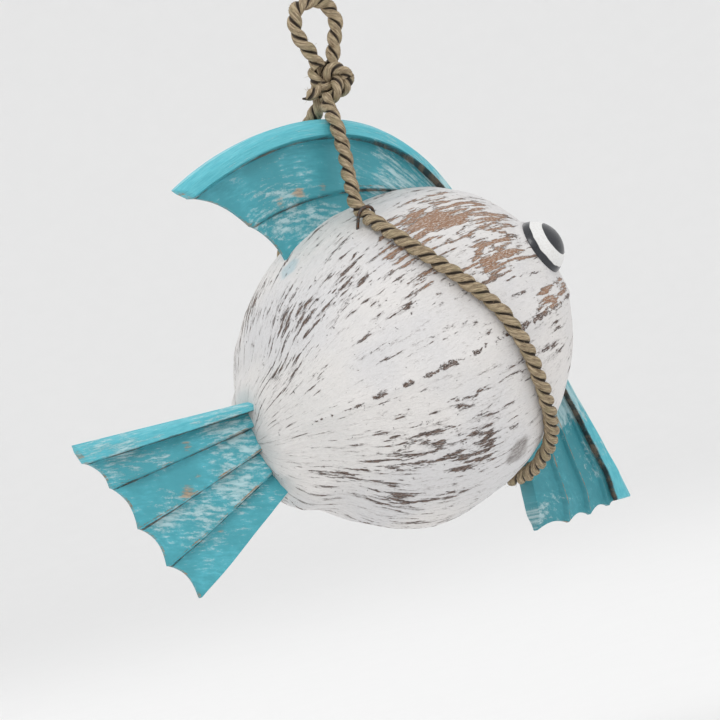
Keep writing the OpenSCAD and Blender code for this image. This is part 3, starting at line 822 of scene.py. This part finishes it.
TAIL_APEX, TAIL_FIRST, TAIL_STEP = (-13.0, 1.0), 181.6, 8.2
TAIL_REACH = (204.5, 189.5, 184, 180.5, 177.5)
TAIL_STRIP, TAIL_ROOT = 3.1, 78
TAIL_UNDER = TAIL_FIRST + TAIL_STRIP
tail_ribs = [
    straight(ray(TAIL_APEX, TAIL_FIRST, TAIL_REACH[0]), ray(TAIL_APEX, TAIL_FIRST, TAIL_ROOT)),
    straight(ray(TAIL_APEX, TAIL_UNDER, TAIL_REACH[0] - 4.5), ray(TAIL_APEX, TAIL_UNDER, TAIL_ROOT)),
]
for i in range(1, 5):
    angle = TAIL_FIRST + TAIL_STEP * i
    tail_ribs.append(straight(ray(TAIL_APEX, angle, TAIL_REACH[i]), ray(TAIL_APEX, angle, TAIL_ROOT)))
carved_fin(
    "tail_fin_carved", tail_ribs, 18, 13, 4.0, (0, 3.4, 4.2, 4.4, 4.2), "tail_fin", 41,
    rub=(
        (-150, -18, 7, 0.9), (-156, -42, 9, 1.0), (-147, -35, 6, 0.8), (-140, -66, 5, 0.9),
        (-146, -76, 5, 0.7),
    ),
    chalk=(
        (-190, -15, 18, 1.0), (-170, -22, 12, 0.7), (-170, -52, 14, 0.9), (-150, -58, 20, 0.9),
        (-128, -45, 16, 1.0), (-200, -8, 26, 0.7), (-125, -18, 14, 0.8),
    ),
)

CHIN_APEX = (66.0, 76.0)
CHIN_ANGLES = (270, 277.1, 282, 287, 291.3)
CHIN_REACH = (181, 182, 183, 184, 187)
CHIN_STRIP = 3.4
CHIN_FRONT = CHIN_ANGLES[4]
CHIN_UNDER = CHIN_FRONT - CHIN_STRIP
chin_ribs = [
    straight(ray(CHIN_APEX, CHIN_FRONT, CHIN_REACH[4]), ray(CHIN_APEX, CHIN_FRONT, 90)),
    straight(ray(CHIN_APEX, CHIN_UNDER, CHIN_REACH[4] - 3.5), ray(CHIN_APEX, CHIN_UNDER, 94)),
]
for i in (3, 2, 1, 0):
    angle = CHIN_ANGLES[i] - (0.6 if i == 3 else 0)
    chin_ribs.append(straight(ray(CHIN_APEX, angle, CHIN_REACH[i]), ray(CHIN_APEX, angle, 130 - 9 * i)))
# The chin fin's blade gets painted shade where the body hangs over it.
carved_fin(
    "chin_fin_carved", chin_ribs, 18, 13, 2.2, (0, 0.6, 2.8, 3.0, 2.6), "ventral_fin", 51, shade=0.75,
    lines=0.3,
    chalk=((104, -36, 16, 1.2), (70, -98, 8, 1.0), (112, -70, 14, 0.6)),
)


# ---- eyes ----

EYE_RADIUS, EYE_RISE, EYE_SUNK, EYE_COLUMNS = 16.2, 12.0, 5.9, 96


def make_eye(side, name, node):
    seat, out = eye_seat(side)
    u = np.cross(out, (0, 0, 1))
    u /= np.linalg.norm(u)
    v = np.cross(out, u)
    dome = (EYE_RADIUS**2 + EYE_RISE**2) / (2 * EYE_RISE)
    rims = np.concatenate([np.linspace(0.2, EYE_RADIUS - 0.6, 40), EYE_RADIUS - 0.6 + 0.6 * np.sin(
        np.linspace(0.1, 1, 8) * pi / 2)])
    heights = np.sqrt(dome**2 - rims**2) - dome + EYE_RISE
    rims = np.append(rims, [EYE_RADIUS, EYE_RADIUS, 14])
    heights = np.append(heights, [-0.8, 0.3 - EYE_SUNK, -EYE_SUNK])
    columns = EYE_COLUMNS
    turn = np.linspace(0, 2 * pi, columns, endpoint=False)
    ring = (
        seat + heights[:, None, None] * out
        + rims[:, None, None] * (np.cos(turn)[None, :, None] * u + np.sin(turn)[None, :, None] * v)
    )
    points = np.vstack([ring.reshape(-1, 3), (seat + out * EYE_RISE)[None], (seat - out * EYE_SUNK)[None]])
    rows = len(rims)
    faces = grid_faces(rows, columns, 0, wrap=True, flip=False)
    for j in range(columns):
        k = (j + 1) % columns
        faces.append((rows * columns, j, k))
        faces.append((rows * columns + 1, (rows - 1) * columns + k, (rows - 1) * columns + j))
    rim = np.concatenate([np.repeat(rims, columns), [0, 16]])
    eye = new_piece(name, hung(points), faces, EYE, [("rim", rim)])
    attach(eye, "fish")
    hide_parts(node)


make_eye(-1, "eye_right_painted", "eye_right")
make_eye(1, "eye_left_painted", "eye_left")


# ---- knot above the back ----


def make_knot():
    """An overhand knot's turns, drawn up tight, with a frayed short end."""
    turns = np.linspace(0, 2 * pi, 220, endpoint=False)
    wide = (2 + np.cos(3 * turns)) * 3.35
    x, y, z = wide * np.cos(2 * turns), wide * np.sin(2 * turns), 3.7 * np.sin(3 * turns)
    # The knot lies across the fish, facing out on both sides.
    tilt, yaw = radians(78), radians(-34)
    p = np.stack([x, y * cos(tilt) - z * sin(tilt), y * sin(tilt) + z * cos(tilt)], -1)
    x, y, z = p.T
    p = np.stack([x * cos(yaw) - y * sin(yaw), x * sin(yaw) + y * cos(yaw), z], -1)
    p = np.array([0, 0, -LOOP_RISE]) * MM + p * MM
    closed = np.vstack([p, p[:2]])
    knot = rope_piece("top_knot_tied", closed, hair=40, thick=0.86, seed=23, pitch=18.0)
    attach(knot, "knot")
    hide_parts("top_knot")
    a = HANG_LEAN - radians(19)
    way = np.array([-cos(a), 0, sin(a)])
    start = np.array([0, 0, -LOOP_RISE * MM])
    stub, _ = eased([start + way * d * MM + np.array([0, 0, lift * MM]) for d, lift in (
        (7, 0), (11, -0.2), (14, -0.3), (17, -0.3), (20, -0.3))])
    tail = rope_piece("knot_tail_frayed", stub, hair=14, thick=0.76, seed=29, taper=6)
    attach(tail, "knot")
    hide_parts("knot_tail")


make_knot()


# ---- pieces that keep their own shape ----

KEPT = {
    "nut_shell": SHELL, "dorsal_dowels": BAMBOO, "tail_dowels": BAMBOO, "ventral_dowels": BAMBOO,
    "eye_pins": BAMBOO, "rope_staple_right": WIRE, "rope_staple_left": WIRE,
}
for node, material in KEPT.items():
    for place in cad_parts[node].material_slots:
        place.material = material


# ---- studio ----


def make_bowl():
    """A pale floor that sweeps up all round, as a studio's paper does."""
    s = Stuff("studio_paper")
    tooth = s.cloud(s.own_place(), 40.0, 3.0, 0.5)
    paper = s.finish(s.blend(tooth, (0.86, 0.86, 0.86), (0.88, 0.88, 0.88)), 0.9)
    floor_z, flat, sweep, wall = -0.46, 4.6, 1.6, 0.8
    profile = [(0.01, 0), (flat, 0)]
    profile += [(flat + sweep * sin(a), sweep * (1 - cos(a))) for a in np.linspace(0.1, pi / 2, 12)]
    profile += [(flat + sweep, sweep + wall)]
    columns = 96
    points = [
        (r * cos(2 * pi * k / columns), r * sin(2 * pi * k / columns), floor_z + z)
        for r, z in profile for k in range(columns)
    ]
    faces = grid_faces(len(profile), columns, wrap=True, flip=True)
    bowl = new_piece("studio_floor", points, faces, paper)


make_bowl()


LAMPS_AIM = (0, 0, -0.2)


def lamp(name, place, size, power):
    light = bpy.data.lights.new(name, "AREA")
    light.shape = "DISK"
    light.size = size
    light.energy = power
    piece = bpy.data.objects.new(name, light)
    bpy.context.collection.objects.link(piece)
    piece.location = place
    piece.rotation_euler = (Vector(LAMPS_AIM) - Vector(place)).to_track_quat("-Z", "Y").to_euler()


lamp("key_light", (-1.6, -1.6, 1.9), 1.1, 17)
lamp("fill_light", (1.2, -2.4, 0.4), 1.8, 3)
lamp("back_light", (0.6, 2.2, 1.6), 1.6, 6)

world = bpy.data.worlds.new("studio_air")
world.use_nodes = True
world.node_tree.nodes["Background"].inputs["Color"].default_value = (1.0, 1.0, 1.0, 1)
world.node_tree.nodes["Background"].inputs["Strength"].default_value = 0.95
bpy.context.scene.world = world
bpy.context.scene.view_settings.view_transform = "Standard"
